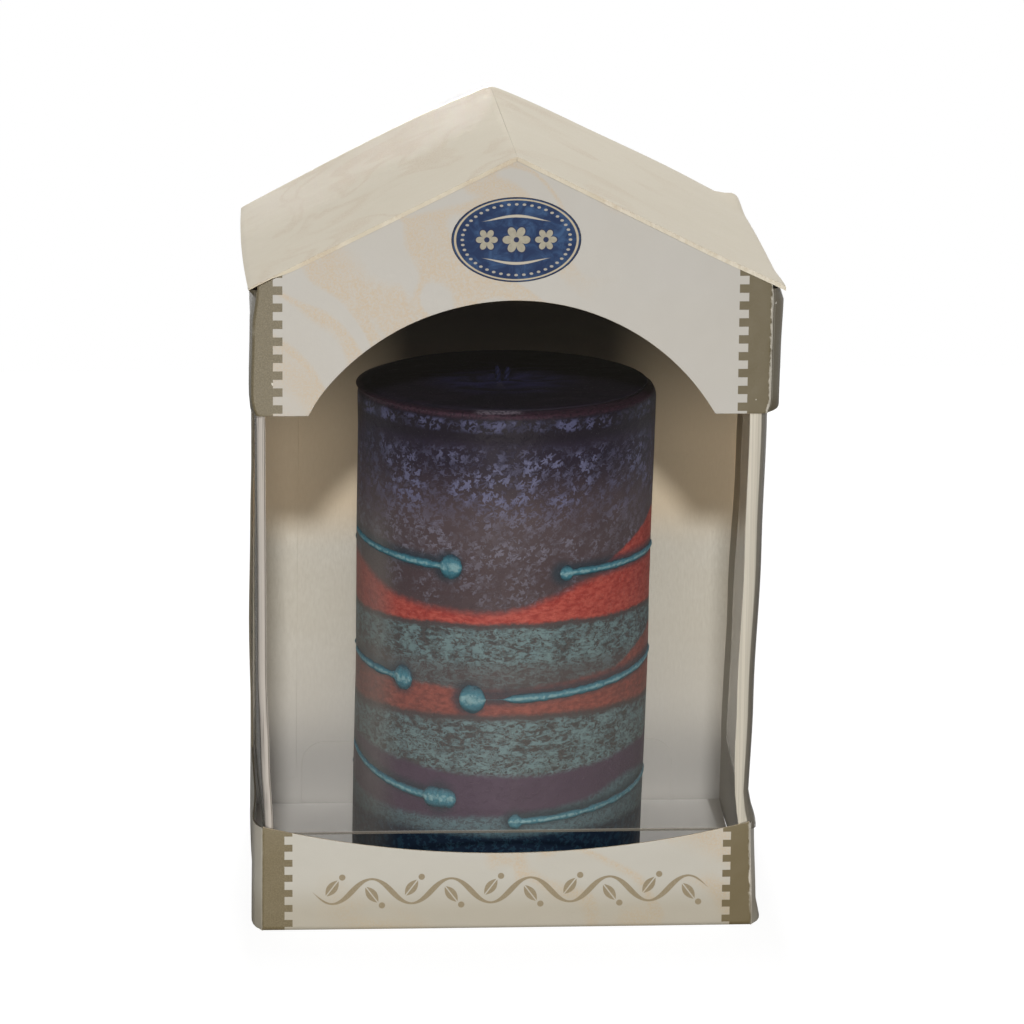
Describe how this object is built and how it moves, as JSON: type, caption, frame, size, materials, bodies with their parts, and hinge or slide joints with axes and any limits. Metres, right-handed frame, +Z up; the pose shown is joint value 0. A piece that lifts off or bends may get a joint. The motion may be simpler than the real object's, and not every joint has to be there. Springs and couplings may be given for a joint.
{
  "type": "boxed havdalah candle",
  "caption": "Decorated pillar candle with wax drips in a house-shaped window carton whose roof halves fold open so that the candle lifts out.",
  "frame": {"origin": "middle of the carton's base, on the surface that it stands on", "axes": "+X to the right seen from the front, +Y to the back, +Z up"},
  "size_m": [0.134, 0.1106, 0.2015],
  "materials": {
    "printed_board": "coated folding board, cream with a faint marbled print and gold corner bands, satin",
    "plain_board": "uncoated grey-cream inside of the board, matte",
    "clear_film": "thin clear plastic film, glossy with a faint haze",
    "label_paper": "coated paper, deep blue with a pale rim",
    "core_wax": "solid dyed wax, waxy satin",
    "dyed_wax": "dip-dyed wax in plum, red and teal bands with frosted marks, satin",
    "drip_wax": "raised teal wax, soft gloss",
    "wick_cotton": "braided cotton coated with dyed wax"
  },
  "bodies": {
    "carton": {"front_gable_panel": "printed_board", "front_base_band": "printed_board", "left_side_panel": "printed_board", "right_side_panel": "printed_board", "back_panel": "printed_board", "glue_seam_flap": "plain_board", "bottom_panel": "printed_board", "bottom_tuck_flap": "plain_board", "left_bottom_flap": "plain_board", "right_bottom_flap": "plain_board", "window_film": "clear_film", "oval_label": "label_paper"},
    "left_roof": {"left_roof_panel": "printed_board", "left_ridge_flange": "plain_board", "left_front_roof_flap": "plain_board", "left_back_roof_flap": "plain_board"},
    "right_roof": {"right_roof_panel": "printed_board", "right_ridge_flange": "plain_board", "right_front_roof_flap": "plain_board", "right_back_roof_flap": "plain_board"},
    "candle": {"candle_core": "core_wax", "candle_skin": "dyed_wax", "wick_1": "wick_cotton", "wick_2": "wick_cotton", "wick_3": "wick_cotton", "front_upper_left_wax_drip": "drip_wax", "front_upper_right_wax_drip": "drip_wax", "front_middle_left_wax_drip": "drip_wax", "front_middle_right_wax_drip": "drip_wax", "front_lower_left_wax_drip": "drip_wax", "front_lower_right_wax_drip": "drip_wax", "back_upper_left_wax_drip": "drip_wax", "back_upper_right_wax_drip": "drip_wax", "back_middle_left_wax_drip": "drip_wax", "back_middle_right_wax_drip": "drip_wax", "back_lower_left_wax_drip": "drip_wax", "back_lower_right_wax_drip": "drip_wax"}
  },
  "joints": [
    {"name": "left_roof_fold", "type": "hinge", "parent": "carton", "child": "left_roof", "pos_m": [-0.067, 0, 0.1676], "axis": [0, -1, 0], "range_deg": [0, 120]},
    {"name": "right_roof_fold", "type": "hinge", "parent": "carton", "child": "right_roof", "pos_m": [0.067, 0, 0.1676], "axis": [0, 1, 0], "range_deg": [0, 120]},
    {"name": "candle_lift", "type": "slide", "parent": "carton", "child": "candle", "axis": [0, 0, 1], "range_m": [0, 0.045]}
  ]
}
